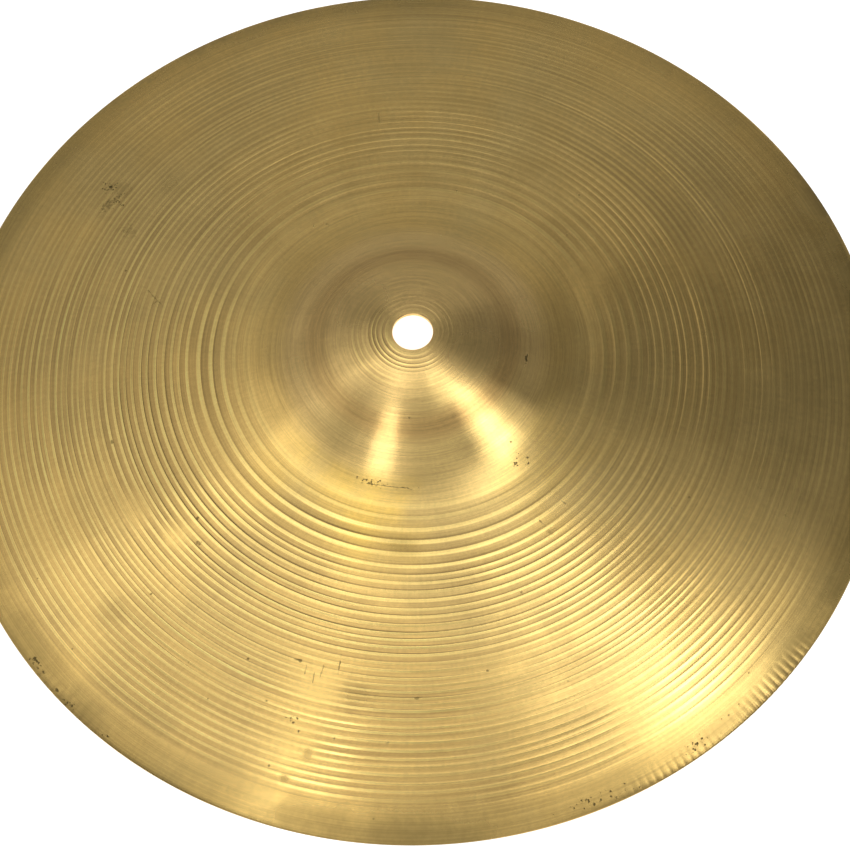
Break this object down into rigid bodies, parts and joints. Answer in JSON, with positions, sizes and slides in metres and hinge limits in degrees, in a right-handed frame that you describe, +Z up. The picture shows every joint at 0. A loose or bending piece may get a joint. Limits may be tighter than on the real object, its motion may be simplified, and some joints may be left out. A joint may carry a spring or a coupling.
{
  "type": "crash cymbal",
  "caption": "Thin round bronze cymbal with a low domed bell, a shallow curved bow, lathed rings and a plain centre hole.",
  "frame": {"origin": "on the centre line, in the plane that the rim rests on", "axes": "+Z up along the centre hole, out of the bell; +X and +Y lie in the rim's plane"},
  "size_m": [0.3048, 0.3048, 0.0228],
  "materials": {
    "bronze": "lathed bronze, satin, lightly tarnished"
  },
  "bodies": {
    "root": {"cymbal": "bronze"}
  },
  "joints": []
}
